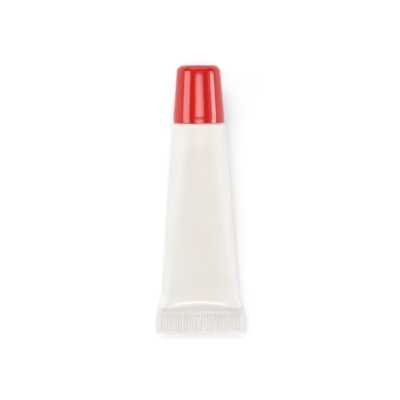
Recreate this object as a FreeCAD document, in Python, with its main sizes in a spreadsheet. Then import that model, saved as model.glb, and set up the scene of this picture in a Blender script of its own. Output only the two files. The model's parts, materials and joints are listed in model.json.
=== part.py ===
import FreeCAD, Part
import math
import os
import re

import Sketcher

# Lip balm squeeze tube with a 16 mm sleeve, in millimetres.
#
# Every piece is modelled upright round the tube's own axis, with the sleeve's crimped end at z = 0
# and the cap at the top. X runs along the crimp and Y goes through the tube from face to face.
# rest_placement then lays the finished tube down on the flat of its lower face.

DIMENSIONS = {
    # sleeve, extruded round
    "sleeve_diameter": 16,
    "sleeve_wall": 0.45,
    "sleeve_length": 59.5,
    "shoulder_draw": 0.4,
    "shoulder_corner": 0.8,
    "corner_chords": 3,
    "lip_radius": 6.6,
    "lip_depth": 1,
    # how its section flattens: round, folded flat on both faces, pinched, nipped, then sealed
    "round_height": 53.2,
    "round_flat": 0.2,
    "fold_height": 12.3,
    "fold_width": 21.6,
    "pinch_height": 9.2,
    "pinch_width": 22.8,
    "pinch_depth": 4.8,
    "nip_height": 5.6,
    "nip_width": 24.7,
    "nip_depth": 1.4,
    "keel_height": 10.6,
    "keel_width": 20.9,
    "keel_depth": 2.4,
    "strip_count": 24,
    # crimp, which the hot jaws spread a little
    "seal_spread": 1.015,
    "crimp_height": 3.1,
    "crimp_thickness": 0.9,
    "crimp_corner": 0.8,
    "jaw_radius": 40,
    "jaw_top": 7.5,
    "jaw_flank": 2.6,
    "jaw_reach": 4.6,
    "rib_pitch": 0.81,
    "rib_count": 28,
    "rib_width": 0.5,
    "rib_depth": 0.2,
    "rib_bottom": 0.45,
    "rib_length": 5.1,
    # head: shoulder, neck and slanted tip
    "flange_depth": 2.5,
    "flange_wall": 0.5,
    "shoulder_wall": 1.1,
    "ledge_radius": 6.95,
    "ledge_height": 0.25,
    "neck_radius": 3.75,
    "neck_height": 5.7,
    "neck_bore": 2.2,
    "tip_radius": 3,
    "tip_height": 14.3,
    "tip_slant": 40,
    "orifice_radius": 1.1,
    "orifice_depth": 4,
    # cap
    "cap_gap": 0.1,
    "cap_height": 15.85,
    "cap_base_radius": 7.1,
    "cap_top_radius": 5.93,
    "cap_wall": 1,
    "cap_end": 1.2,
    "cap_top_edge": 1.65,
    "cap_rim_edge": 0.35,
    "band_height": 1.5,
    "skirt_radius": 5,
    "skirt_bore": 4.12,
    "skirt_inset": 0.5,
    "tip_bore": 3.35,
    "pocket_depth": 11.5,
    "web_count": 6,
    "web_width": 0.7,
    "web_inset": 1.5,
}

# Sizes that follow from the dimensions. The round sleeve has a hair of flat on two sides, so that it
# can fold along them, and it shrinks a little on to the head at the collar. The crimp is as wide as
# half the round sleeve's perimeter, spread a little.
ROUND_DEPTH = "sleeve_diameter / 2 - round_flat / pi"
ROUND_WIDTH = f"{ROUND_DEPTH} + round_flat / 2"
HALF_CRIMP = "pi * sleeve_diameter / 4 * seal_spread"
COLLAR_DEPTH = f"{ROUND_DEPTH} - shoulder_draw"
COLLAR_WIDTH = f"{ROUND_WIDTH} - shoulder_draw"
BORE = f"{COLLAR_DEPTH} - sleeve_wall"
NECK_TOP = "sleeve_length + neck_height"
TIP_TOP = "sleeve_length + tip_height"
CAP_RIM = "sleeve_length + ledge_height + cap_gap"
CAP_TOP = f"{CAP_RIM} + cap_height"

# Sections of the sleeve from the shoulder down: height, half width and half depth of the outside.
# Each is two half circles joined by two flats. From the round one down to the fold they have the
# same perimeter, because the wall bends there and doesn't stretch.
SHOULDER = ("sleeve_length", COLLAR_WIDTH, COLLAR_DEPTH)
COLLAR = ("sleeve_length - shoulder_corner", COLLAR_WIDTH, COLLAR_DEPTH)
ROUND = ("round_height", ROUND_WIDTH, ROUND_DEPTH)
FOLD = ("fold_height", "fold_width / 2", "(pi * sleeve_diameter - 2 * fold_width) / (2 * pi - 4)")
PINCH = ("pinch_height", "pinch_width / 2", "pinch_depth / 2")
NIP = ("nip_height", "nip_width / 2", "nip_depth / 2")
SEAL = ("crimp_height", HALF_CRIMP, "crimp_thickness / 2")
# The lowest section of the hollow, as if it had a wall round it.
KEEL = ("keel_height", "keel_width / 2 + sleeve_wall", "keel_depth / 2 + sleeve_wall")

# How far apart two places may be that are taken for the same one.
NEAR = 0.02

doc = FreeCAD.newDocument("lip_balm_tube")


def make_sheet():
    """The driving dimensions, one row each: a name in column A and its aliased number in column B."""
    dims = doc.addObject("Spreadsheet::Sheet", "dims")
    for row, (alias, number) in enumerate(DIMENSIONS.items(), start=1):
        dims.set(f"A{row}", alias)
        dims.set(f"B{row}", str(number))
        dims.setAlias(f"B{row}", alias)
    doc.recompute()
    return dims


sheet = make_sheet()


def bound(expression):
    """The expression with each dimension's name pointed at the sheet."""
    return re.sub(r"\b[a-z]+_[a-z_]+\b", r"dims.\g<0>", expression)


def number(expression):
    """What the expression comes to, which starts a sketch off at its solved shape."""
    return float(sheet.evalExpression(expression))


def add_body(name):
    body = doc.addObject("PartDesign::Body", name)
    body.Label = name
    return body


def add_sketch(body, name, plane, along="0", out="0"):
    """A sketch on one of the body's origin planes, moved along its own vertical and out of the plane."""
    sketch = body.newObject("Sketcher::SketchObject", name)
    support = next(f for f in body.Origin.OriginFeatures if f.Role == plane)
    sketch.AttachmentSupport = [(support, "")]
    sketch.MapMode = "FlatFace"
    sketch.setExpression("AttachmentOffset.Base.y", bound(along))
    sketch.setExpression("AttachmentOffset.Base.z", bound(out))
    return sketch


def add_datum(sketch, expression, kind, *elements):
    """A sketch dimension that is bound to an expression."""
    index = sketch.addConstraint(Sketcher.Constraint(kind, *elements, number(expression)))
    sketch.setExpression(f"Constraints[{index}]", bound(expression))


def draw_polygon(sketch, corners):
    """A closed outline whose corners are each held by two dimensions from the sketch's origin."""
    points = [FreeCAD.Vector(number(u), number(v), 0) for u, v in corners]
    following = points[1:] + points[:1]
    sides = [sketch.addGeometry(Part.LineSegment(a, b)) for a, b in zip(points, following)]
    for side, after in zip(sides, sides[1:] + sides[:1]):
        sketch.addConstraint(Sketcher.Constraint("Coincident", side, 2, after, 1))
    for side, (u, v) in zip(sides, corners):
        add_datum(sketch, u, "DistanceX", -1, 1, side, 1)
        add_datum(sketch, v, "DistanceY", -1, 1, side, 1)


def draw_circle(sketch, u, v, radius):
    circle = Part.Circle(FreeCAD.Vector(number(u), number(v), 0), FreeCAD.Vector(0, 0, 1), number(radius))
    index = sketch.addGeometry(circle)
    add_datum(sketch, u, "DistanceX", -1, 1, index, 3)
    add_datum(sketch, v, "DistanceY", -1, 1, index, 3)
    add_datum(sketch, radius, "Radius", index)


def add_extrusion(body, kind, name, sketch, length, reverse=False, both_ways=False):
    """A Pad or Pocket, straight out of its sketch or shared evenly between both sides."""
    feature = body.newObject(f"PartDesign::{kind}", name)
    feature.Profile = sketch
    feature.Reversed = reverse
    feature.SideType = "Symmetric" if both_ways else "One side"
    feature.setExpression("Length", bound(length))
    doc.recompute()
    return feature


def add_turning(body, kind, name, sketch, axis):
    """A Revolution or Groove all the way round one of its sketch's axes."""
    feature = body.newObject(f"PartDesign::{kind}", name)
    feature.Profile = sketch
    feature.ReferenceAxis = (sketch, [axis])
    feature.Angle = 360
    doc.recompute()
    return feature


def add_dressing(body, kind, name, size, chosen):
    """A Fillet or Chamfer on each edge of the body's last feature that chosen picks."""
    base = body.Tip
    edges = [f"Edge{i}" for i, edge in enumerate(base.Shape.Edges, start=1) if chosen(edge)]
    if not edges:
        raise RuntimeError(f"{name}: no edge to dress")
    feature = body.newObject(f"PartDesign::{kind}", name)
    feature.Base = (base, edges)
    feature.setExpression("Radius" if kind == "Fillet" else "Size", bound(size))
    doc.recompute()
    return feature


def is_rim(edge, radius, height):
    """Whether the edge is a circle round the tube's axis, of this radius and at this height."""
    if not isinstance(edge.Curve, Part.Circle):
        return False
    centre = edge.Curve.Center
    off_axis = math.hypot(centre.x, centre.y)
    same_radius = abs(edge.Curve.Radius - number(radius)) < NEAR
    return off_axis < NEAR and same_radius and abs(centre.z - number(height)) < NEAR


def section_corners(section, inset):
    """One cross-section of the sleeve, moved in by inset: each half circle is strip_count short sides."""
    height, half_width, half_depth = (number(size) for size in section)
    radius = half_depth - inset
    reach = half_width - half_depth
    strips = int(number("strip_count"))
    turns = [math.pi * step / strips - math.pi / 2 for step in range(strips + 1)]
    right = [(reach + radius * math.cos(turn), radius * math.sin(turn)) for turn in turns]
    left = [(-x, -y) for x, y in right]
    return [FreeCAD.Vector(x, y, height) for x, y in right + left]


def polygon_face(corners):
    return Part.Face(Part.makePolygon(corners + corners[:1]))


def add_folded_form(name, sections, inset=0):
    """A solid folded from flat strips that run from section to section, as film bends but doesn't
    stretch. The sections go upwards, and their matching sides are parallel, so every strip is flat."""
    rings = [section_corners(section, inset) for section in sections]
    faces = [polygon_face(rings[0]), polygon_face(rings[-1])]
    for lower, upper in zip(rings, rings[1:]):
        for near in range(len(lower)):
            far = (near + 1) % len(lower)
            faces.append(polygon_face([lower[near], lower[far], upper[far], upper[near]]))
    solid = Part.makeSolid(Part.makeShell(faces))
    if solid.Volume < 0:
        solid.reverse()
    form = doc.addObject("Part::Feature", name)
    form.Label = name
    form.Shape = solid
    return form


def add_hollow(name):
    """The space inside the sleeve, from the keel over the crimp up to the round end."""
    return add_folded_form(name, (KEEL, FOLD, ROUND), inset=number("sleeve_wall"))


def make_sleeve():
    """The sleeve: round at the shoulder, folded flat towards the seal, and crimped between ribbed jaws."""
    body = add_body("sleeve_outside")
    body.BaseFeature = add_folded_form("folded_tube", (SEAL, NIP, PINCH, FOLD, ROUND, COLLAR, SHOULDER))
    doc.recompute()

    plate = add_sketch(body, "plate_outline", "XZ_Plane")
    draw_polygon(plate, [
        (f"-{HALF_CRIMP}", "0"),
        (HALF_CRIMP, "0"),
        (HALF_CRIMP, "crimp_height"),
        (f"-{HALF_CRIMP}", "crimp_height"),
    ])
    add_extrusion(body, "Pad", "crimp_plate", plate, "crimp_thickness", both_ways=True)
    add_dressing(body, "Fillet", "crimp_corners", "crimp_corner", is_plate_corner)

    rounding = add_sketch(body, "shoulder_rounding", "XZ_Plane")
    draw_polygon(rounding, shoulder_corners())
    add_turning(body, "Groove", "shoulder_edge", rounding, "V_Axis")

    seat = add_sketch(body, "seat_outline", "XY_Plane", out="round_height")
    draw_circle(seat, "0", "0", BORE)
    depth = "sleeve_length - lip_depth - round_height"
    add_extrusion(body, "Pocket", "head_seat", seat, depth, reverse=True)
    mouth = add_sketch(body, "mouth_outline", "XY_Plane", out="sleeve_length")
    draw_circle(mouth, "0", "0", "lip_radius")
    add_extrusion(body, "Pocket", "mouth", mouth, "2 * lip_depth")

    # Each jaw leaves a flat field below an arch, which turns round an axis square to the crimp.
    for name, side in (("front", "-"), ("back", "")):
        jaw = add_sketch(body, f"jaw_profile_{name}", "YZ_Plane", along="jaw_top - jaw_radius")
        draw_polygon(jaw, [
            (f"{side}crimp_thickness / 2", "0"),
            (f"{side}jaw_reach", "0"),
            (f"{side}jaw_reach", "jaw_radius + jaw_flank"),
            (f"{side}crimp_thickness / 2", "jaw_radius"),
        ])
        add_turning(body, "Groove", f"jaw_mark_{name}", jaw, "H_Axis")

    first = "-(rib_count - 1) * rib_pitch / 2"
    channels = add_sketch(body, "channel_section", "XY_Plane", out="rib_bottom")
    for side in ("-", ""):
        draw_polygon(channels, [
            (f"{first} - rib_width", f"{side}(crimp_thickness / 2 + rib_depth)"),
            (f"{first} + rib_width", f"{side}(crimp_thickness / 2 + rib_depth)"),
            (first, f"{side}(crimp_thickness / 2 - rib_depth)"),
        ])
    add_extrusion(body, "Pocket", "channel", channels, "rib_length", reverse=True)
    add_row(body, "crimp_ribs", "rib_count", "(rib_count - 1) * rib_pitch")

    sleeve = doc.addObject("Part::Cut", "tube_sleeve")
    sleeve.Label = "tube_sleeve"
    sleeve.Base = body
    sleeve.Tool = add_hollow("hollow")
    doc.recompute()
    return sleeve


def is_plate_corner(edge):
    """The two short edges through the crimp plate at its lower corners."""
    box = edge.BoundBox
    at_side = abs(abs(box.XMin) - number(HALF_CRIMP)) < NEAR
    return box.ZMax < NEAR and at_side and box.XLength < NEAR


def shoulder_corners():
    """What is cut away to round the sleeve's shoulder: the corner outside a quarter circle, which is
    drawn as corner_chords chords."""
    side = f"({COLLAR_WIDTH})"
    chords = int(number("corner_chords"))
    corners = [(f"{side} + shoulder_corner", "sleeve_length - shoulder_corner")]
    for step in range(chords + 1):
        turn = 90 * step / chords
        across = f"{side} - shoulder_corner * (1 - cos({turn}))"
        up = f"sleeve_length - shoulder_corner * (1 - sin({turn}))"
        corners.append((across, up))
    corners.append((f"{side} - shoulder_corner", "sleeve_length + shoulder_corner"))
    corners.append((f"{side} + shoulder_corner", "sleeve_length + shoulder_corner"))
    return corners


def add_row(body, name, count, length):
    """Repeats the body's last feature along X."""
    pattern = body.newObject("PartDesign::LinearPattern", name)
    pattern.Originals = [body.Tip]
    axis = next(f for f in body.Origin.OriginFeatures if f.Role == "X_Axis")
    pattern.Direction = (axis, [""])
    pattern.setExpression("Length", bound(length))
    pattern.setExpression("Occurrences", bound(count))
    body.Tip = pattern
    doc.recompute()


def add_ring(body, name, count):
    """Repeats the body's last feature evenly round the tube's axis."""
    pattern = body.newObject("PartDesign::PolarPattern", name)
    pattern.Originals = [body.Tip]
    axis = next(f for f in body.Origin.OriginFeatures if f.Role == "Z_Axis")
    pattern.Axis = (axis, [""])
    pattern.Angle = 360
    pattern.setExpression("Occurrences", bound(count))
    body.Tip = pattern
    doc.recompute()


def make_head():
    """The head: a shoulder welded under the sleeve's lip, with the ledge that the cap closes on, the
    neck and the slanted tip."""
    body = add_body("tube_head")
    flange_top = "sleeve_length - lip_depth"
    flange_foot = "sleeve_length - lip_depth - flange_depth"
    underside = "sleeve_length - shoulder_wall"
    ledge_top = "sleeve_length + ledge_height"
    bore_top = "sleeve_length + tip_height - tip_radius * tan(tip_slant) - orifice_depth"
    profile = add_sketch(body, "head_profile", "XZ_Plane")
    draw_polygon(profile, [
        (f"{BORE} - flange_wall", flange_foot),
        (BORE, flange_foot),
        (BORE, flange_top),
        ("lip_radius", flange_top),
        ("lip_radius", "sleeve_length"),
        ("ledge_radius", "sleeve_length"),
        ("ledge_radius", ledge_top),
        ("neck_radius", ledge_top),
        ("neck_radius", NECK_TOP),
        ("tip_radius", NECK_TOP),
        ("tip_radius", TIP_TOP),
        ("orifice_radius", TIP_TOP),
        ("orifice_radius", bore_top),
        ("neck_bore", bore_top),
        ("neck_bore", underside),
        (f"{BORE} - flange_wall", underside),
    ])
    add_turning(body, "Revolution", "head", profile, "V_Axis")

    beyond = "2 * tip_radius"
    drop = f"(tip_radius + {beyond}) * tan(tip_slant)"
    slant = add_sketch(body, "slant_outline", "YZ_Plane")
    draw_polygon(slant, [
        ("tip_radius", TIP_TOP),
        ("tip_radius", f"{TIP_TOP} + {beyond}"),
        (f"-{beyond}", f"{TIP_TOP} + {beyond}"),
        (f"-{beyond}", f"{TIP_TOP} - {drop}"),
    ])
    add_extrusion(body, "Pocket", "slanted_face", slant, f"2 * ({beyond})", both_ways=True)
    return body


def make_cap():
    """The screw cap: a straight band at the rim and a tapered shell above it, closed at the top, with
    the skirt that grips the neck inside."""
    body = add_body("screw_cap")
    slope = "(cap_base_radius - cap_top_radius) / (cap_height - band_height)"
    inner_base = "cap_base_radius - cap_wall"
    inner_top = f"cap_base_radius - cap_wall - (pocket_depth - band_height) * {slope}"
    profile = add_sketch(body, "cap_profile", "XZ_Plane")
    draw_polygon(profile, [
        ("0", CAP_TOP),
        ("0", f"{CAP_TOP} - cap_end"),
        ("tip_bore", f"{CAP_TOP} - cap_end"),
        ("tip_bore", f"{NECK_TOP} + cap_gap"),
        ("skirt_bore", f"{NECK_TOP} + cap_gap"),
        ("skirt_bore", f"{CAP_RIM} + skirt_inset"),
        ("skirt_radius", f"{CAP_RIM} + skirt_inset"),
        ("skirt_radius", f"{CAP_RIM} + pocket_depth"),
        (inner_top, f"{CAP_RIM} + pocket_depth"),
        (inner_base, f"{CAP_RIM} + band_height"),
        (inner_base, CAP_RIM),
        ("cap_base_radius", CAP_RIM),
        ("cap_base_radius", f"{CAP_RIM} + band_height"),
        ("cap_top_radius", CAP_TOP),
    ])
    add_turning(body, "Revolution", "cap", profile, "V_Axis")
    top = lambda edge: is_rim(edge, "cap_top_radius", CAP_TOP)
    rim = lambda edge: is_rim(edge, "cap_base_radius", CAP_RIM)
    add_dressing(body, "Fillet", "top_edge", "cap_top_edge", top)
    add_dressing(body, "Chamfer", "rim_edge", "cap_rim_edge", rim)

    # The webs are sunk into the skirt and the shell, so that they leave no gap at either.
    sunk = "cap_wall / 5"
    web = add_sketch(body, "web_outline", "XZ_Plane")
    draw_polygon(web, [
        (f"skirt_radius - {sunk}", f"{CAP_RIM} + web_inset"),
        (f"{inner_base} + {sunk}", f"{CAP_RIM} + web_inset"),
        (f"{inner_top} + {sunk}", f"{CAP_RIM} + pocket_depth"),
        (f"skirt_radius - {sunk}", f"{CAP_RIM} + pocket_depth"),
    ])
    add_extrusion(body, "Pad", "web", web, "web_width", both_ways=True)
    add_ring(body, "webs", "web_count")
    return body


def make_balm():
    """The balm, which fills the sleeve up to its round end."""
    return add_hollow("lip_balm")


def rest_placement(bodies):
    """Lays the tube down: the flat of its lower face lies on the floor, the cap points along +Y, and
    the middle of the floor under its bounding box is the origin."""
    fold_depth = number(FOLD[2])
    rise = math.atan2(number(ROUND_DEPTH) - fold_depth, number("round_height - fold_height"))
    turn = FreeCAD.Rotation(FreeCAD.Vector(1, 0, 0), math.degrees(rise) - 90)
    laid = [body.Shape.transformed(FreeCAD.Placement(FreeCAD.Vector(), turn).toMatrix()) for body in bodies]
    box = Part.makeCompound(laid).optimalBoundingBox(False)
    middle = FreeCAD.Vector(-box.Center.x, -box.Center.y, -box.ZMin)
    return FreeCAD.Placement(middle, turn)


def check_document():
    """Stops if anything in the document failed to build."""
    for item in doc.Objects:
        if "Invalid" in item.State or "Error" in item.State:
            raise RuntimeError(f"{item.Name} ({item.Label}) failed: {item.State}")


def check_body(body):
    """Stops unless the body is one valid solid."""
    shape = body.Shape
    if shape.isNull() or not shape.isValid() or len(shape.Solids) != 1:
        raise RuntimeError(f"{body.Label} isn't one valid solid")


bodies = [make_sleeve(), make_head(), make_cap(), make_balm()]
doc.recompute()
check_document()
placement = rest_placement(bodies)
for body in bodies:
    body.Placement = placement
doc.recompute()
check_document()
for body in bodies:
    check_body(body)
os.makedirs("parts", exist_ok=True)
for body in bodies:
    body.Shape.exportStep(f"parts/{body.Label}.step")
    print(body.Label, round(body.Shape.Volume, 2), "mm3", len(body.Shape.Faces), "faces")
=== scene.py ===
import json
import math

import bpy
import numpy as np
from mathutils import Matrix, Vector


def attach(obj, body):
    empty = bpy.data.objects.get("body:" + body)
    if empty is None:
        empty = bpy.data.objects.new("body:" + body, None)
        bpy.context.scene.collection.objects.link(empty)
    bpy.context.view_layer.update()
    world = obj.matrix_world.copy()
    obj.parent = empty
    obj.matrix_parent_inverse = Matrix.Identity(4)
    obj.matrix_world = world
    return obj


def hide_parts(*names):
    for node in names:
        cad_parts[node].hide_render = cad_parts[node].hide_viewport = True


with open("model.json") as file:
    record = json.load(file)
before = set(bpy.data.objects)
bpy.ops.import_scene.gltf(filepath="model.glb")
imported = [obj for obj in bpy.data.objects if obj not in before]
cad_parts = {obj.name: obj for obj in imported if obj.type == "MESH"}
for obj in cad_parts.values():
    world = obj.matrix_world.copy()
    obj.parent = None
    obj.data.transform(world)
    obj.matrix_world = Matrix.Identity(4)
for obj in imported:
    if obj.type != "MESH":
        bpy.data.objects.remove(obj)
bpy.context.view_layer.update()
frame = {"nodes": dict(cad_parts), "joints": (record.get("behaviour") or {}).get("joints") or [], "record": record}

# A soft squeeze tube for lip balm with a glossy screw cap, lying on a pale floor. Lengths are in
# millimetres along the tube's own directions: across the crimp, up out of its upper face, and along
# its axis from the crimped end. place() carries them into the frame.

MM = 0.001

# Directions and places, from the frame. FOOT is the point of the tube's axis that is level with its
# sealed end.
ALONG = np.array(frame["joints"][0]["axis"])
ACROSS = np.array([1.0, 0.0, 0.0])
UP = np.cross(ACROSS, ALONG)


def corners_of(node):
    """The node's vertices at rest, one row each, in metres."""
    mesh = frame["nodes"][node].data
    points = np.empty(len(mesh.vertices) * 3)
    mesh.vertices.foreach_get("co", points)
    return points.reshape(-1, 3)


def reach(node, direction):
    """The least and the greatest distance of the node's vertices along a direction, in metres."""
    distances = corners_of(node) @ direction
    return distances.min(), distances.max()


CRIMP_END = reach("tube_sleeve", ALONG)[0]
CAP_END = np.array(next(m["pos_m"] for m in frame["record"]["mounts"] if m["name"] == "cap_end"))
FOOT = CAP_END - ALONG * (CAP_END @ ALONG - CRIMP_END)
SHOULDER = (reach("tube_sleeve", ALONG)[1] - CRIMP_END) / MM
CAP_RIM = (reach("screw_cap", ALONG)[0] - CRIMP_END) / MM
CAP_TOP = (reach("screw_cap", ALONG)[1] - CRIMP_END) / MM
CRIMP_HALF = reach("tube_sleeve", ACROSS)[1] / MM

# The sleeve: half widths and half depths of its sections, and their heights over the sealed end.
WALL = 0.45
ROUND_RADIUS = 7.93
ROUND_HEIGHT = 53.2
COLLAR_RADIUS = 7.53
FOLD_HEIGHT = 12.3
FOLD_HALF = 10.8
FOLD_HALF_DEPTH = 3.09
FLATNESS = 1.1
BEND_TOP = 9.3
BEND = 0.08
FLARE_TOP = 12.5
FLARE_FOOT = 3.0
FLARE = 1.25
STRAIGHT_FOOT = 14.0
SEAL_HALF_DEPTH = 0.45
SEAL_FILLET = 0.15
SHOULDER_CORNER = 0.8
CRIMP_CORNER = 0.8
END_EDGE = 0.12
LIP_RADIUS = 6.6
LIP_DEPTH = 1.0
KEEL_HEIGHT = 10.6
KEEL_HALF = 10.45
KEEL_HALF_DEPTH = 1.2

# The crimp: the mark of the jaws, the ridge that the film forms over it, and the ribs.
JAW_TOP = 6.75
JAW_RADIUS = 90.0
JAW_SLOPE = 2.55
SIDE_SLOPE_LOSS = 0.45
JAW_FILLET = 0.12
JAW_GAPE = 0.25
ROLL = 1.3
RIDGE = 0.26
RIDGE_RISE = 0.8
RIDGE_TOP = 11.6
IRONED_EDGE = 1.0
KNIFE_EDGE = 0.5
RIB_PITCH = 0.81
RIB_COUNT = 28
RIB_DEPTH = 0.21
RIB_SHARPNESS = 1.3
RIB_FOOT = 0.15
RIB_TOP = 5.55
RIB_RUN_OUT = 0.3

# The radius of a small moulded edge.
MOULD_EDGE = 0.1

# How many points lie round a section of the sleeve, the balm, the head, the thread and the cap.
SLEEVE_STEPS = 640
BALM_STEPS = 160
HEAD_STEPS = 160
THREAD_STEPS = 12
CAP_STEPS = 288

# The head: radii, and heights over the sleeve's shoulder.
FLANGE_FOOT = -3.5
FLANGE_WALL = 0.5
SHOULDER_WALL = 1.1
LEDGE_RADIUS = 6.98
LEDGE_TOP = 0.25
LEDGE_FOOT_EDGE = 0.05
LEDGE_TOP_EDGE = 0.06
NECK_RADIUS = 3.75
NECK_TOP = 5.7
NECK_FILLET = 0.35
NECK_EDGE = 0.3
NECK_BORE = 2.2
TIP_RADIUS = 3.0
TIP_TOP = 14.3
TIP_SLANT = math.radians(40)
TIP_FILLET = 0.25
TIP_EDGE = 0.7
ORIFICE_RADIUS = 1.1
ORIFICE_FOOT = 7.8
ORIFICE_EDGE = 0.3
THREAD_PITCH = 2.0
THREAD_TURNS = 1.75
THREAD_MIDDLE = 3.05
THREAD_HALF_WIDTH = 0.5
THREAD_SINK = 0.1
THREAD_RUN_OUT = math.radians(40)
THREAD_ROUNDING = 0.7
NECK_CREST = 3.98

# The cap: radii, and heights over its rim.
CAP_HEIGHT = CAP_TOP - CAP_RIM
CAP_BASE = 7.1
CAP_TIP = 5.92
BAND = 1.75
BAND_BLEND = 9.0
CAP_WALL = 1.0
CAP_END_WALL = 1.2
CAP_TOP_EDGE = 1.85
CAP_RIM_EDGE = 0.14
CAP_RIM_INNER_EDGE = 0.15
BAND_INNER_BLEND = 2.0
DIMPLE_FOOT = 0.7
DIMPLE_RADIUS = 0.8
DIMPLE_DEPTH = 0.1
POCKET = 11.5
SKIRT_RADIUS = 5.0
SKIRT_BORE = 4.12
SKIRT_INSET = 0.5
SKIRT_DEPTH = 5.45
SKIRT_EDGE = 0.2
SKIRT_MOUTH_EDGE = 0.3
TIP_BORE = 3.35
TIP_BORE_FILLET = 0.4
WEB_COUNT = 6
WEB_WIDTH = 0.7
WEB_INSET = 1.5
WEB_SINK = 0.2


# ---------------------------------------------------------------- surfaces

def place(across, up, along):
    """Carries arrays of the tube's own coordinates into the frame, in metres."""
    own = np.stack(np.broadcast_arrays(across, up, along), axis=-1) * MM
    return FOOT + own @ np.array([ACROSS, UP, ALONG])


def smooth(x):
    """3x^2 - 2x^3 between 0 and 1, flat outside."""
    x = np.clip(x, 0, 1)
    return x * x * (3 - 2 * x)


def quads(rows, columns, wrap_rows):
    """The four-cornered faces of a grid of rows by columns points. Each row closes on itself, and
    wrap_rows joins the last row to the first."""
    row = np.arange(rows if wrap_rows else rows - 1)[:, None]
    column = np.arange(columns)[None, :]
    near = row * columns
    far = (row + 1) % rows * columns
    beside = (column + 1) % columns
    corners = np.broadcast_arrays(near + column, near + beside, far + beside, far + column)
    return np.stack(corners, axis=-1).reshape(-1, 4)


def fan(ring, centre):
    """The three-cornered faces between a ring of point numbers and one point."""
    after = np.roll(ring, -1)
    return np.stack([after, ring, np.full(len(ring), centre)], axis=-1)


def signed_volume(mesh):
    """The sum over all triangles of corner . (corner x corner) / 6, which is negative on a shape
    that is inside out."""
    mesh.calc_loop_triangles()
    points = np.empty(len(mesh.vertices) * 3)
    mesh.vertices.foreach_get("co", points)
    corners = np.empty(len(mesh.loop_triangles) * 3, np.int64)
    mesh.loop_triangles.foreach_get("vertices", corners)
    a, b, c = points.reshape(-1, 3)[corners.reshape(-1, 3)].transpose(1, 0, 2)
    return float(np.einsum("ij,ij->i", a, np.cross(b, c)).sum() / 6)


def build(name, points, faces, sharp=40):
    """A mesh object with smooth shading, except over edges sharper than this many degrees. Its
    normals are made to point outwards."""
    mesh = bpy.data.meshes.new(name)
    mesh.from_pydata(points.tolist(), [], [face for group in faces for face in group.tolist()])
    mesh.validate()
    piece = bpy.data.objects.new(name, mesh)
    bpy.context.scene.collection.objects.link(piece)
    if signed_volume(mesh) < 0:
        mesh.flip_normals()
    mesh.polygons.foreach_set("use_smooth", np.ones(len(mesh.polygons), bool))
    mesh.set_sharp_from_angle(angle=math.radians(sharp))
    mesh.update()
    return piece


def outline(corners, step=math.radians(6)):
    """A line through corners (x, y, radius), each rounded by an arc of its radius that touches both
    of its sides: it starts radius * tan(turn / 2) before the corner. The first and last stay sharp."""
    points = [np.array(corners[0][:2], float)]
    for before, (x, y, radius), after in zip(corners, corners[1:], corners[2:]):
        corner = np.array([x, y], float)
        way_in = corner - np.array(before[:2])
        way_out = np.array(after[:2]) - corner
        way_in = way_in / np.linalg.norm(way_in)
        way_out = way_out / np.linalg.norm(way_out)
        turn = math.atan2(way_in[0] * way_out[1] - way_in[1] * way_out[0], way_in @ way_out)
        if radius == 0 or abs(turn) < 1e-6:
            points.append(corner)
            continue
        start = corner - way_in * radius * math.tan(abs(turn) / 2)
        side = math.copysign(1, turn) * np.array([-way_in[1], way_in[0]])
        centre = start + side * radius
        count = max(3, math.ceil(abs(turn) / step))
        turns = np.linspace(0, turn, count + 1)
        arm = start - centre
        arc = np.stack([
            arm[0] * np.cos(turns) - arm[1] * np.sin(turns),
            arm[0] * np.sin(turns) + arm[1] * np.cos(turns),
        ], axis=-1)
        points.extend(centre + arc)
    points.append(np.array(corners[-1][:2], float))
    return np.array(points)


def refine(line, longest):
    """The same line with its long sides cut into equal parts no longer than this."""
    parts = []
    for start, end in zip(line, line[1:]):
        count = max(1, math.ceil(np.linalg.norm(end - start) / longest))
        parts.append(start + (end - start) * np.arange(count)[:, None] / count)
    return np.vstack([*parts, line[-1:]])


def turned(line, steps):
    """A profile of (radius, height) turned round the axis: ring i at angle a is radius_i sin a
    across, radius_i cos a up and height_i along."""
    angle = np.arange(steps) * 2 * math.pi / steps
    across = line[:, :1] * np.sin(angle)
    up = line[:, :1] * np.cos(angle)
    return across, up, np.broadcast_to(line[:, 1:], across.shape)


# ---------------------------------------------------------------- sleeve

def quarter(radius, distance):
    """What a rounded corner of this radius takes off at a distance from the end that it rounds."""
    depth = np.clip(radius - distance, 0, radius)
    return radius - np.sqrt(radius ** 2 - depth ** 2)


def sleeve_half_width(z):
    """Half of the sleeve's width. It narrows in a straight line from the fold to the collar, and
    flares to the sealed end. Rounded corners take a little off at both ends."""
    taper = (FOLD_HALF - COLLAR_RADIUS) / (SHOULDER - SHOULDER_CORNER - FOLD_HEIGHT)
    width = FOLD_HALF - taper * (np.maximum(z, FLARE_FOOT) - FOLD_HEIGHT)
    width = width + FLARE * smooth((FLARE_TOP - z) / (FLARE_TOP - FLARE_FOOT))
    width = np.minimum(width, CRIMP_HALF)
    return width - quarter(CRIMP_CORNER, z) - quarter(SHOULDER_CORNER, SHOULDER - z)


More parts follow.
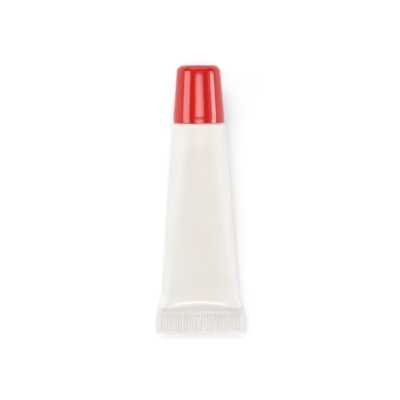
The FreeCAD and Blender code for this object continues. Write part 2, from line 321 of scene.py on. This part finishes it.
def sleeve_half_depth(z):
    """Half of the sleeve's depth before the jaws press it: straight from the fold to the round end,
    straight in to the collar, and bending to the seal under the jaws as the square of the distance.
    A hyperbola rounds the corner where it meets the seal."""
    fall = (ROUND_RADIUS - FOLD_HALF_DEPTH) / (ROUND_HEIGHT - FOLD_HEIGHT)
    shrink = (ROUND_RADIUS - COLLAR_RADIUS) / (SHOULDER - SHOULDER_CORNER - ROUND_HEIGHT)
    depth = FOLD_HALF_DEPTH + fall * (np.minimum(z, ROUND_HEIGHT) - FOLD_HEIGHT)
    above = np.clip(z, ROUND_HEIGHT, SHOULDER - SHOULDER_CORNER) - ROUND_HEIGHT
    depth = depth - shrink * above - BEND * np.clip(BEND_TOP - z, 0, None) ** 2
    over_seal = depth - SEAL_HALF_DEPTH
    depth = SEAL_HALF_DEPTH + (over_seal + np.sqrt(over_seal ** 2 + SEAL_FILLET ** 2)) / 2
    return depth - quarter(SHOULDER_CORNER, SHOULDER - z) - quarter(END_EDGE, z)


def ring_points(half_width, half_depth, count):
    """One closed section for each height: (across / width) ^ m + (up / depth) ^ 2 = 1, where m is 2
    on a round section and grows with width / depth, so that the film stays flat over the balm and
    turns tightly at its sides. The steps are those of two half circles joined by two flats, from the
    right-hand side over the top."""
    share = np.arange(count) * 4 / count
    quadrant = np.floor(share).astype(int)
    local = share - quadrant
    local = np.where(quadrant % 2 == 1, 1 - local, local)
    half_width = half_width[:, None]
    half_depth = half_depth[:, None]
    flat = np.maximum(half_width - half_depth, 0)
    arc = half_depth * math.pi / 2
    run = local[None, :] * (arc + flat)
    turn = np.minimum(run, arc) / half_depth
    across = np.clip(flat + (half_width - flat) * np.cos(turn) - np.maximum(run - arc, 0), 0, None)
    power = 2 + FLATNESS * flat / half_depth
    up = half_depth * np.sqrt(np.clip(1 - (across / half_width) ** power, 0, 1))
    across = across * np.where((quadrant == 0) | (quadrant == 3), 1, -1)
    up = up * np.where(quadrant < 2, 1, -1)
    return across, up


def sleeve_heights():
    """Where the sleeve's sections lie: close together where the film bends along its length."""
    ribs_fade = RIB_TOP - RIB_RUN_OUT
    ribs_gone = RIB_TOP + 0.1
    stretches = [
        (0, CRIMP_CORNER, 9),
        (CRIMP_CORNER, ribs_fade, 8),
        (ribs_fade, ribs_gone, 6),
        (ribs_gone, RIDGE_TOP, 56),
        (RIDGE_TOP, STRAIGHT_FOOT, 8),
        (STRAIGHT_FOOT, ROUND_HEIGHT, 20),
        (ROUND_HEIGHT, SHOULDER - SHOULDER_CORNER, 6),
    ]
    heights = [np.linspace(low, high, count, endpoint=False) for low, high, count in stretches]
    end = END_EDGE * (1 - np.cos(np.linspace(0, math.pi / 2, 4)))
    corner = SHOULDER - SHOULDER_CORNER + SHOULDER_CORNER * np.sin(np.linspace(0, math.pi / 2, 8))
    return np.unique(np.concatenate([end, *heights, corner]).round(5))


def jaw_mark(across):
    """Where the jaws' mark starts at each distance from the middle, a shallow arch, and how long the
    slope above it is: it is shorter at the sides."""
    arch = JAW_TOP - (JAW_RADIUS - np.sqrt(JAW_RADIUS ** 2 - across ** 2))
    share = np.minimum(np.abs(across) / FOLD_HALF, 1)
    return arch, JAW_SLOPE * (1 - SIDE_SLOPE_LOSS * share ** 2)


def pressed(across, up, z):
    """The film where the jaws closed on it: flat over the ribs, gaping a little up to the mark, then
    rising over a slope that is steepest at its foot, as one less a power of the way left. Above the
    slope of the upper face a ridge dies out up the tube. It fades over the outer half of the width."""
    arch, slope = jaw_mark(across)
    share = (z - arch) / slope
    ramp = (share + np.sqrt(share ** 2 + JAW_FILLET ** 2)) / 2
    risen = 1 - np.clip(1 - ramp, 0, None) ** ROLL
    depth = np.abs(up)
    gape = JAW_GAPE * np.clip((z - RIB_TOP) / (arch - RIB_TOP), 0, 1)
    flat = np.minimum(depth, SEAL_HALF_DEPTH + gape)
    height = RIDGE * smooth(2 - 2 * np.abs(across) / FOLD_HALF) * (up > 0)
    ridge = height * np.exp(-np.clip(z - arch - slope, 0, None) / RIDGE_RISE)
    return np.sign(up) * (flat + (depth - flat + ridge) * risen)


def ribbed(across, up, z):
    """Grooves pressed by the jaws' teeth: each is one cosine wave raised to a power, one to a pitch,
    and runs out at both ends."""
    wave = (0.5 - 0.5 * np.cos(2 * math.pi * across / RIB_PITCH)) ** RIB_SHARPNESS
    field = np.abs(across) < RIB_COUNT * RIB_PITCH / 2
    run = smooth((z - RIB_FOOT) / RIB_RUN_OUT) * smooth((RIB_TOP - z) / RIB_RUN_OUT)
    return up - np.sign(up) * RIB_DEPTH * wave * field * run


def closed_slot(start):
    """Faces that close a flat ring of the sleeve, whose first point has this number. Each joins a
    stretch of the upper side to the one below it. At both ends, where the sides meet in a point,
    the face would have no width and is left out."""
    top = np.arange(SLEEVE_STEPS // 2)
    below = (SLEEVE_STEPS - top) % SLEEVE_STEPS
    below_after = (SLEEVE_STEPS - top - 1) % SLEEVE_STEPS
    faces = np.stack([top + 1, top, below, below_after], axis=-1)
    return faces[1:-1] + start


def film_values(across, z, half_width):
    """What the film's material reads at each point of the outside, from 0 to 1. fill, how much balm
    lies under it, falls to the sides as the square of the distance; it gives the middle the balm's
    warmer tint and the sides a painted sheen, lighter and cooler. ironed is 1 where the hot jaws
    pressed, between the knife's cut and the top of their mark. backed is 1 where, above the ribs and
    short of the outer third, the end of the balm lies against the ironed film; there the colour is
    painted lighter, painted light that lifts the shade of the crease."""
    arch, slope = jaw_mark(across)
    fill = 1 - (across / half_width) ** 2
    ironed = smooth(arch + slope + IRONED_EDGE - z) * smooth(z / KNIFE_EDGE)
    backed = ironed * smooth(z - RIB_TOP) * smooth(3 - 3 * np.abs(across) / FOLD_HALF)
    return {"fill": fill, "ironed": ironed, "backed": backed}


def make_sleeve():
    """The sleeve's film: its outer surface from the sealed end to the shoulder, over the lip and
    down the inside to where the film meets itself above the crimp."""
    z = sleeve_heights()
    half_width = sleeve_half_width(z)
    across, up = ring_points(half_width, sleeve_half_depth(z), SLEEVE_STEPS)
    z = np.broadcast_to(z[:, None], across.shape)
    up = ribbed(across, pressed(across, up, z), z)
    outside = place(across, up, z)

    seat = COLLAR_RADIUS - WALL
    bore = ROUND_RADIUS - WALL
    fold = FOLD_HALF - WALL
    fold_depth = FOLD_HALF_DEPTH - WALL
    seat_top = SHOULDER - LIP_DEPTH
    inner_z, inner_half, inner_depth = np.array([
        (SHOULDER, LIP_RADIUS, LIP_RADIUS),
        (seat_top, LIP_RADIUS, LIP_RADIUS),
        (seat_top, seat, seat),
        (ROUND_HEIGHT, seat, seat),
        (ROUND_HEIGHT, bore, bore),
        (FOLD_HEIGHT, fold, fold_depth),
        (KEEL_HEIGHT, KEEL_HALF, KEEL_HALF_DEPTH),
    ]).T
    inner_across, inner_up = ring_points(inner_half, inner_depth, SLEEVE_STEPS)
    inside = place(inner_across, inner_up, inner_z[:, None])

    points = np.concatenate([outside, inside]).reshape(-1, 3)
    rows = len(points) // SLEEVE_STEPS
    faces = [
        quads(rows, SLEEVE_STEPS, wrap_rows=False),
        closed_slot(0),
        closed_slot((rows - 1) * SLEEVE_STEPS)[:, ::-1],
    ]
    piece = build("sleeve_film", points, faces)
    # Inside, where the film doesn't show, all three values are 1.
    inner = np.ones(inner_across.shape)
    for name, outer in film_values(across, z, half_width[:, None]).items():
        values = np.concatenate([outer, inner]).ravel().astype(np.float32)
        piece.data.attributes.new(name, "FLOAT", "POINT").data.foreach_set("value", values)
    return piece


def make_balm():
    """The balm: the sleeve's own sections, less its wall, from the keel of the hollow to the round
    end."""
    z = np.concatenate([[KEEL_HEIGHT], np.linspace(FOLD_HEIGHT, ROUND_HEIGHT, 24)])
    half = sleeve_half_width(z) - WALL
    depth = sleeve_half_depth(z) - WALL
    half[0] = KEEL_HALF
    depth[0] = KEEL_HALF_DEPTH
    across, up = ring_points(half, depth, BALM_STEPS)
    points = place(across, up, z[:, None]).reshape(-1, 3)
    centres = place(np.zeros(2), np.zeros(2), z[[0, -1]])
    last = (len(z) - 1) * BALM_STEPS
    faces = [
        quads(len(z), BALM_STEPS, wrap_rows=False),
        fan(np.arange(BALM_STEPS)[::-1], len(points)),
        fan(np.arange(last, last + BALM_STEPS), len(points) + 1),
    ]
    return build("balm_fill", np.vstack([points, centres]), faces)


# ---------------------------------------------------------------- head and thread

def make_head():
    """The head: a turned profile whose top is slanted. Above the neck each point's height is
    stretched so that the profile's flat top lies in the slanted plane."""
    bore = COLLAR_RADIUS - WALL
    line = outline([
        (bore - FLANGE_WALL, -SHOULDER_WALL, 0),
        (bore - FLANGE_WALL, FLANGE_FOOT, MOULD_EDGE),
        (bore, FLANGE_FOOT, MOULD_EDGE),
        (bore, -LIP_DEPTH, 0),
        (LIP_RADIUS, -LIP_DEPTH, 0),
        (LIP_RADIUS, 0, 0),
        (LEDGE_RADIUS, 0, LEDGE_FOOT_EDGE),
        (LEDGE_RADIUS, LEDGE_TOP, LEDGE_TOP_EDGE),
        (NECK_RADIUS, LEDGE_TOP, NECK_FILLET),
        (NECK_RADIUS, NECK_TOP, NECK_EDGE),
        (TIP_RADIUS, NECK_TOP, TIP_FILLET),
        (TIP_RADIUS, TIP_TOP, TIP_EDGE),
        (ORIFICE_RADIUS, TIP_TOP, ORIFICE_EDGE),
        (ORIFICE_RADIUS, ORIFICE_FOOT, 0),
        (NECK_BORE, ORIFICE_FOOT, 0),
        (NECK_BORE, -SHOULDER_WALL, 0),
        (bore - FLANGE_WALL, -SHOULDER_WALL, 0),
    ])
    line = refine(line, longest=1.2)[:-1]
    across, up, height = turned(line, HEAD_STEPS)
    plane = TIP_TOP - (TIP_RADIUS + up) * math.tan(TIP_SLANT)
    stretch = (plane - NECK_TOP) / (TIP_TOP - NECK_TOP)
    height = np.where(height > NECK_TOP, NECK_TOP + (height - NECK_TOP) * stretch, height)
    points = place(across, up, SHOULDER + height).reshape(-1, 3)
    return build("head_and_tip", points, [quads(len(line), HEAD_STEPS, wrap_rows=True)], sharp=50)


def make_thread():
    """The neck's thread: a rounded ridge carried along a helix, which rises one pitch a turn. Its
    height fades to nothing at both ends, its width to two fifths. It is sunk a little into the neck."""
    sections = 160
    end = THREAD_TURNS * math.pi
    round_ridge = np.linspace(0, 2 * math.pi, THREAD_STEPS, endpoint=False)
    way = np.linspace(-end, end, sections)[:, None]
    fade = smooth((end - np.abs(way)) / THREAD_RUN_OUT)
    height = (NECK_CREST - NECK_RADIUS) * fade + THREAD_SINK
    radius = NECK_RADIUS - THREAD_SINK + height * (0.5 + 0.5 * np.cos(round_ridge)) ** THREAD_ROUNDING
    climb = way / (2 * math.pi) * THREAD_PITCH
    along = SHOULDER + THREAD_MIDDLE + climb
    along = along + THREAD_HALF_WIDTH * np.sin(round_ridge) * (0.4 + 0.6 * fade)
    points = place(radius * np.sin(way), radius * np.cos(way), along).reshape(-1, 3)
    centres = np.stack([points[:THREAD_STEPS].mean(0), points[-THREAD_STEPS:].mean(0)])
    points = np.vstack([points, centres])
    last = (sections - 1) * THREAD_STEPS
    faces = [
        quads(sections, THREAD_STEPS, wrap_rows=False),
        fan(np.arange(THREAD_STEPS), len(points) - 2),
        fan(np.arange(last, last + THREAD_STEPS)[::-1], len(points) - 1),
    ]
    return build("neck_thread", points, faces)


# ---------------------------------------------------------------- cap

def cap_inner_top():
    """The radius of the shell's inner wall at the top of the pocket."""
    slope = (CAP_BASE - CAP_TIP) / (CAP_HEIGHT - BAND)
    return CAP_BASE - CAP_WALL - (POCKET - BAND) * slope


def make_cap():
    """The cap's shell and skirt as one turned profile, from the middle of its outer end round the
    rim to the middle of its inner end. A shallow dimple is left where the plastic was let in."""
    line = outline([
        (0, CAP_HEIGHT - DIMPLE_DEPTH, 0),
        (DIMPLE_FOOT, CAP_HEIGHT - DIMPLE_DEPTH, MOULD_EDGE),
        (DIMPLE_RADIUS, CAP_HEIGHT, MOULD_EDGE),
        (CAP_TIP, CAP_HEIGHT, CAP_TOP_EDGE),
        (CAP_BASE, BAND, BAND_BLEND),
        (CAP_BASE, 0, CAP_RIM_EDGE),
        (CAP_BASE - CAP_WALL, 0, CAP_RIM_INNER_EDGE),
        (CAP_BASE - CAP_WALL, BAND, BAND_INNER_BLEND),
        (cap_inner_top(), POCKET, MOULD_EDGE),
        (SKIRT_RADIUS, POCKET, MOULD_EDGE),
        (SKIRT_RADIUS, SKIRT_INSET, SKIRT_EDGE),
        (SKIRT_BORE, SKIRT_INSET, SKIRT_MOUTH_EDGE),
        (SKIRT_BORE, SKIRT_DEPTH, MOULD_EDGE),
        (TIP_BORE, SKIRT_DEPTH, MOULD_EDGE),
        (TIP_BORE, CAP_HEIGHT - CAP_END_WALL, TIP_BORE_FILLET),
        (0, CAP_HEIGHT - CAP_END_WALL, 0),
    ], step=math.radians(4))
    line = refine(line, longest=1.5)
    across, up, height = turned(line[1:-1], CAP_STEPS)
    points = place(across, up, CAP_RIM + height).reshape(-1, 3)
    ends = place(np.zeros(2), np.zeros(2), CAP_RIM + line[[0, -1], 1])
    points = np.vstack([points, ends])
    rows = len(line) - 2
    last = (rows - 1) * CAP_STEPS
    faces = [
        quads(rows, CAP_STEPS, wrap_rows=False),
        fan(np.arange(CAP_STEPS), len(points) - 2),
        fan(np.arange(last, last + CAP_STEPS)[::-1], len(points) - 1),
    ]
    return build("cap_shell", points, faces, sharp=50)


def make_webs():
    """The webs between the cap's skirt and shell: flat blades, evenly round the axis, whose edges
    are sunk a little into what they join."""
    inner = SKIRT_RADIUS - WEB_SINK
    top = POCKET + WEB_SINK / 2
    blade = np.array([
        (inner, WEB_INSET),
        (CAP_BASE - CAP_WALL + WEB_SINK, WEB_INSET),
        (cap_inner_top() + WEB_SINK, top),
        (inner, top),
    ])
    web = np.arange(WEB_COUNT)[:, None, None]
    turn = web * 2 * math.pi / WEB_COUNT
    side = np.array([-1, 1])[None, :, None] * WEB_WIDTH / 2
    radius = blade[:, 0]
    across = radius * np.sin(turn) + side * np.cos(turn)
    up = radius * np.cos(turn) - side * np.sin(turn)
    points = place(across, up, CAP_RIM + blade[:, 1]).reshape(-1, 3)
    box = np.array([[0, 1, 2, 3], [7, 6, 5, 4], [0, 4, 5, 1], [1, 5, 6, 2], [2, 6, 7, 3], [3, 7, 4, 0]])
    faces = (box + web * 2 * len(blade)).reshape(-1, 4)
    return build("cap_webs", points, [faces])


# ---------------------------------------------------------------- materials

def linear(code):
    """An sRGB hex colour as linear light."""
    channels = [int(code[i:i + 2], 16) / 255 for i in (1, 3, 5)]
    light = [c / 12.92 if c <= 0.04045 else ((c + 0.055) / 1.055) ** 2.4 for c in channels]
    return (*light, 1.0)


def add_node(tree, kind, inputs=None, **settings):
    """One node. settings are its properties. inputs are its sockets by name or number, each a value
    or the output that it is linked to. A Mix node's go by number, because they share names: 0 is the
    share of the second, 2 and 3 are two numbers with the result 0, 6 and 7 two colours with the
    result 2."""
    made = tree.nodes.new(kind)
    for name, value in settings.items():
        setattr(made, name, value)
    for name, value in (inputs or {}).items():
        if isinstance(value, bpy.types.NodeSocket):
            tree.links.new(value, made.inputs[name])
        else:
            made.inputs[name].default_value = value
    return made


def new_material(name):
    """An empty material, its node tree, and an output node."""
    material = bpy.data.materials.new(name)
    material.use_nodes = True
    tree = material.node_tree
    tree.nodes.clear()
    return material, tree, tree.nodes.new("ShaderNodeOutputMaterial")


def extruded_polyethylene():
    """LDPE film, extruded as a tube. It is a little see-through, so it looks warmer where balm lies
    behind it. Its colour is also painted darker in the middle and lighter and cooler at its folded
    sides, a painted sheen for the light those sides mirror. The die leaves faint streaks along it,
    0.9 mm apart, and the chill of the cooling water leaves it satin. The hot jaws iron it glossier
    and fuse two layers, which pass less light, so the ribs stay crisp. The end of the balm backs the
    film above the ribs: light soaks deeper there, and its colour is painted whiter, painted light
    that lifts the shade of the crease. The knife leaves the end matt."""
    material, tree, out = new_material("ldpe_extruded_satin")
    place_at = add_node(tree, "ShaderNodeTexCoord").outputs["Object"]
    streaks = add_node(tree, "ShaderNodeMapping", {
        "Vector": place_at, "Scale": (1 / (0.9 * MM), 1 / (25 * MM), 1 / (0.9 * MM)),
    })
    streak = add_node(tree, "ShaderNodeTexNoise", {
        "Vector": streaks.outputs["Vector"], "Scale": 1.0, "Detail": 2.0, "Roughness": 0.5,
    })
    mottle = add_node(tree, "ShaderNodeTexNoise", {
        "Vector": place_at, "Scale": 1 / (6 * MM), "Detail": 3.0, "Roughness": 0.5,
    })
    grain = add_node(tree, "ShaderNodeTexNoise", {
        "Vector": place_at, "Scale": 1 / (0.25 * MM), "Detail": 2.0,
    })
    fill = add_node(tree, "ShaderNodeAttribute", attribute_name="fill")
    ironed = add_node(tree, "ShaderNodeAttribute", attribute_name="ironed")
    backed = add_node(tree, "ShaderNodeAttribute", attribute_name="backed")
    # Painted sheen and the balm's tint: the middle, where balm lies behind the film, is warmer and darker, and the
    # folded sides are painted lighter and cooler for the light they mirror.
    balm_tint_and_painted_side_sheen = add_node(tree, "ShaderNodeMix", {
        0: fill.outputs["Fac"], 6: linear("#DADBDA"), 7: linear("#D9D4CD"),
    }, data_type="RGBA")
    # Painted light over the crease: where the balm backs the ironed film its colour is lighter, which lifts the
    # crease's shade; the rest of the crimp keeps the fused film's own tint.
    fused_tint_and_painted_crease_light = add_node(tree, "ShaderNodeMix", {
        0: backed.outputs["Fac"], 6: linear("#DAD8D6"), 7: linear("#E3E0DB"),
    }, data_type="RGBA")
    film = add_node(tree, "ShaderNodeMix", {
        0: ironed.outputs["Fac"], 6: balm_tint_and_painted_side_sheen.outputs[2], 7: fused_tint_and_painted_crease_light.outputs[2],
    }, data_type="RGBA")
    clouded = add_node(tree, "ShaderNodeMix", {
        0: mottle.outputs["Fac"], 6: linear("#FFFFFF"), 7: linear("#F6F4F2"),
    }, data_type="RGBA")
    colour = add_node(tree, "ShaderNodeMix", {
        0: 1.0, 6: film.outputs[2], 7: clouded.outputs[2],
    }, data_type="RGBA", blend_type="MULTIPLY")
    satin = add_node(tree, "ShaderNodeMapRange", {
        "Value": mottle.outputs["Fac"], "To Min": 0.46, "To Max": 0.52,
    })
    rough = add_node(tree, "ShaderNodeMix", {
        0: ironed.outputs["Fac"], 2: satin.outputs["Result"], 3: 0.17,
    })
    soak_unbacked = add_node(tree, "ShaderNodeMapRange", {
        "Value": ironed.outputs["Fac"], "To Min": 0.5, "To Max": 0.15,
    })
    soak = add_node(tree, "ShaderNodeMix", {
        0: backed.outputs["Fac"], 2: soak_unbacked.outputs["Result"], 3: 0.8,
    })
    soak_depth = add_node(tree, "ShaderNodeMapRange", {
        "Value": backed.outputs["Fac"], "To Min": 1.2 * MM, "To Max": 2.5 * MM,
    })
    streak_bump = add_node(tree, "ShaderNodeBump", {
        "Height": streak.outputs["Fac"], "Strength": 0.35, "Distance": 0.02 * MM,
    })
    bump = add_node(tree, "ShaderNodeBump", {
        "Height": grain.outputs["Fac"], "Strength": 0.25, "Distance": 0.006 * MM,
        "Normal": streak_bump.outputs["Normal"],
    })
    shader = add_node(tree, "ShaderNodeBsdfPrincipled", {
        "Base Color": colour.outputs[2], "Roughness": rough.outputs[0], "IOR": 1.51,
        "Normal": bump.outputs["Normal"], "Subsurface Weight": soak.outputs[0],
        "Subsurface Scale": soak_depth.outputs["Result"], "Subsurface Radius": (1.0, 0.85, 0.7),
    })
    tree.links.new(shader.outputs["BSDF"], out.inputs["Surface"])
    return material


def moulded_polypropylene():
    """Red polypropylene, injection moulded in a polished tool: deep gloss with a faint orange peel
    about 1.5 mm across, which softens the edges of what it mirrors, and slight flow clouding."""
    material, tree, out = new_material("polypropylene_gloss_red")
    place_at = add_node(tree, "ShaderNodeTexCoord").outputs["Object"]
    flow = add_node(tree, "ShaderNodeTexNoise", {
        "Vector": place_at, "Scale": 1 / (7 * MM), "Detail": 3.0, "Distortion": 0.6,
    })
    peel = add_node(tree, "ShaderNodeTexNoise", {
        "Vector": place_at, "Scale": 1 / (1.5 * MM), "Detail": 1.0,
    })
    colour = add_node(tree, "ShaderNodeMix", {
        0: flow.outputs["Fac"], 6: linear("#BF1C17"), 7: linear("#B81A16"),
    }, data_type="RGBA")
    rough = add_node(tree, "ShaderNodeMapRange", {
        "Value": flow.outputs["Fac"], "To Min": 0.10, "To Max": 0.12,
    })
    bump = add_node(tree, "ShaderNodeBump", {
        "Height": peel.outputs["Fac"], "Strength": 0.15, "Distance": 0.01 * MM,
    })
    shader = add_node(tree, "ShaderNodeBsdfPrincipled", {
        "Base Color": colour.outputs[2],
        "Roughness": rough.outputs["Result"], "IOR": 1.49,
        "Normal": bump.outputs["Normal"],
    })
    tree.links.new(shader.outputs["BSDF"], out.inputs["Surface"])
    return material


def moulded_polyethylene():
    """Natural white polyethylene, injection moulded in a matt tool: soft sheen, a fine spark-eroded
    grain 0.3 mm across, and a milky depth."""
    material, tree, out = new_material("polyethylene_moulded_natural")
    place_at = add_node(tree, "ShaderNodeTexCoord").outputs["Object"]
    grain = add_node(tree, "ShaderNodeTexNoise", {
        "Vector": place_at, "Scale": 1 / (0.3 * MM), "Detail": 2.0,
    })
    cloud = add_node(tree, "ShaderNodeTexNoise", {
        "Vector": place_at, "Scale": 1 / (4 * MM), "Detail": 2.0,
    })
    colour = add_node(tree, "ShaderNodeMix", {
        0: cloud.outputs["Fac"], 6: linear("#DCDAD6"), 7: linear("#D8D5CF"),
    }, data_type="RGBA")
    bump = add_node(tree, "ShaderNodeBump", {
        "Height": grain.outputs["Fac"], "Strength": 0.3, "Distance": 0.008 * MM,
    })
    shader = add_node(tree, "ShaderNodeBsdfPrincipled", {
        "Base Color": colour.outputs[2], "Roughness": 0.42, "IOR": 1.52,
        "Normal": bump.outputs["Normal"], "Subsurface Weight": 0.25, "Subsurface Scale": 0.8 * MM,
        "Subsurface Radius": (1.0, 0.85, 0.7),
    })
    tree.links.new(shader.outputs["BSDF"], out.inputs["Surface"])
    return material


def balm_wax():
    """Petrolatum and wax balm: creamy and moist, with soft swirls left by the filling nozzle."""
    material, tree, out = new_material("balm_wax_cream")
    place_at = add_node(tree, "ShaderNodeTexCoord").outputs["Object"]
    swirl = add_node(tree, "ShaderNodeTexNoise", {
        "Vector": place_at, "Scale": 1 / (3 * MM), "Detail": 3.0, "Distortion": 1.2,
    })
    colour = add_node(tree, "ShaderNodeMix", {
        0: swirl.outputs["Fac"], 6: linear("#EADBC0"), 7: linear("#DFCBA8"),
    }, data_type="RGBA")
    bump = add_node(tree, "ShaderNodeBump", {
        "Height": swirl.outputs["Fac"], "Strength": 0.4, "Distance": 0.1 * MM,
    })
    shader = add_node(tree, "ShaderNodeBsdfPrincipled", {
        "Base Color": colour.outputs[2], "Roughness": 0.28, "IOR": 1.46,
        "Normal": bump.outputs["Normal"],
    })
    tree.links.new(shader.outputs["BSDF"], out.inputs["Surface"])
    return material


def paper_sweep():
    """The floor: matt white background paper, with a faint clouding of its fibres."""
    material, tree, out = new_material("background_paper")
    place_at = add_node(tree, "ShaderNodeTexCoord").outputs["Object"]
    cloud = add_node(tree, "ShaderNodeTexNoise", {
        "Vector": place_at, "Scale": 1 / (30 * MM), "Detail": 2.0,
    })
    colour = add_node(tree, "ShaderNodeMix", {
        0: cloud.outputs["Fac"], 6: linear("#F0F0F0"), 7: linear("#EEEEEE"),
    }, data_type="RGBA")
    shader = add_node(tree, "ShaderNodeBsdfPrincipled", {
        "Base Color": colour.outputs[2], "Roughness": 0.9, "Specular IOR Level": 0.2,
    })
    tree.links.new(shader.outputs["BSDF"], out.inputs["Surface"])
    return material


# ---------------------------------------------------------------- studio

def make_floor():
    """A square sheet of background paper, six metres wide."""
    half = 3.0
    corners = [(-half, -half, 0), (half, -half, 0), (half, half, 0), (-half, half, 0)]
    mesh = bpy.data.meshes.new("floor")
    mesh.from_pydata(corners, [], [(0, 1, 2, 3)])
    floor = bpy.data.objects.new("floor", mesh)
    bpy.context.scene.collection.objects.link(floor)
    floor.data.materials.append(paper_sweep())


def add_softbox(name, side_angle, front_angle, distance, width, length, brightness, tint=(1, 1, 1)):
    """A rectangular light that faces the tube. side_angle is how far it stands from straight above
    towards +X and front_angle towards -Y, in degrees. Lengths are in metres. Its power is pi times
    its brightness times its area, so that it looks this bright from any distance."""
    light = bpy.data.lights.new(name, "AREA")
    light.shape = "RECTANGLE"
    light.size = width
    light.size_y = length
    light.energy = brightness * math.pi * width * length
    light.color = tint
    box = bpy.data.objects.new(name, light)
    bpy.context.scene.collection.objects.link(box)
    side = math.radians(side_angle)
    front = math.radians(front_angle)
    back = Vector((math.sin(side) * math.cos(front), -math.sin(front), math.cos(side) * math.cos(front)))
    right = Vector((math.cos(side), 0, -math.sin(side)))
    upward = back.cross(right)
    turn = Matrix((right, upward, back)).transposed()
    box.matrix_world = Matrix.Translation(back * distance) @ turn.to_4x4()
    return box


def make_lights():
    """Soft lights over the tube and beside it, two fills, and a key light that casts the shadow."""
    # The top softboxes are brightest along their middle, like a diffuser with a lamp behind it. The
    # gap between them shows in the cap as a line across the middle stripe.
    add_softbox("top_softbox", 3.0, -1.4, 0.80, 0.54, 0.096, 4.95)
    add_softbox("top_softbox_front", 3.0, 12.6, 0.80, 0.54, 0.140, 4.95)
    add_softbox("top_middle", 3.0, -1.4, 0.801, 0.24, 0.096, 2.9)
    add_softbox("top_middle_front", 3.0, 12.6, 0.801, 0.24, 0.140, 2.9)
    add_softbox("left_softbox", -58.5, 0, 0.80, 0.43, 0.36, 5.8, tint=(0.985, 1, 1))
    add_softbox("right_softbox", 72.5, 3, 0.80, 0.30, 0.33, 10.1, tint=(1, 0.965, 0.965))
    # A dim card beside each side light softens one edge of its reflection in the cap: the outer edge
    # on the left, the inner one on the right.
    add_softbox("left_glow", -80, 0, 0.80, 0.22, 0.36, 0.65)
    add_softbox("right_glow", 54.5, 3, 0.80, 0.20, 0.33, 1.0)
    add_softbox("back_fill", 0, -66, 0.90, 1.20, 0.60, 1.67)
    add_softbox("front_fill", 0, 57, 0.90, 1.20, 0.70, 1.32)
    # The key stands behind the cap and casts the soft shadow in front of the crimp. The glossy cap
    # doesn't mirror it.
    key = add_softbox("key_softbox", -21, -44, 0.90, 0.40, 0.40, 5.6)
    key.visible_glossy = False
    world = bpy.data.worlds.new("studio")
    world.use_nodes = True
    background = world.node_tree.nodes["Background"]
    background.inputs["Color"].default_value = linear("#F2F3F5")
    background.inputs["Strength"].default_value = 0.07
    bpy.context.scene.world = world


# The camera hangs over the tube and looks straight down.
CAMERA_HEIGHT = 0.350
CAMERA_SIDE = 0.15 * MM
CAMERA_ROLL = math.radians(0.45)
LENS = 110.4


def make_camera():
    """A long lens, turned a little about its own axis."""
    data = bpy.data.cameras.new("camera")
    data.lens = LENS
    data.sensor_width = 36
    data.clip_start = 0.01
    camera = bpy.data.objects.new("camera", data)
    bpy.context.scene.collection.objects.link(camera)
    turn = Matrix.Rotation(-CAMERA_ROLL, 4, "Z")
    camera.matrix_world = Matrix.Translation((CAMERA_SIDE, 0, CAMERA_HEIGHT)) @ turn
    bpy.context.scene.camera = camera


# ---------------------------------------------------------------- the pieces and their finishes

def dress(piece, material, body, slot, *nodes):
    """Gives a piece its finish and body, and hides the CAD nodes that it stands for. slot is not used."""
    piece.data.materials.clear()
    piece.data.materials.append(material)
    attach(piece, body)
    if nodes:
        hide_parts(*nodes)


film = extruded_polyethylene()
natural = moulded_polyethylene()
red = moulded_polypropylene()

dress(make_sleeve(), film, "tube", "sleeve", "tube_sleeve")
dress(make_head(), natural, "tube", "head", "tube_head")
dress(make_thread(), natural, "tube", "head")
cap_shell = make_cap()
cap_webs = make_webs()
dress(cap_shell, red, "cap", "cap", "screw_cap")
dress(cap_webs, red, "cap", "cap")
# The red throws no light of its own on matt surfaces, so the floor beside the cap stays neutral.
cap_shell.visible_diffuse = False
cap_webs.visible_diffuse = False
dress(make_balm(), balm_wax(), "tube", "balm", "lip_balm")

make_floor()
make_lights()
make_camera()
bpy.context.scene.view_settings.view_transform = "Standard"
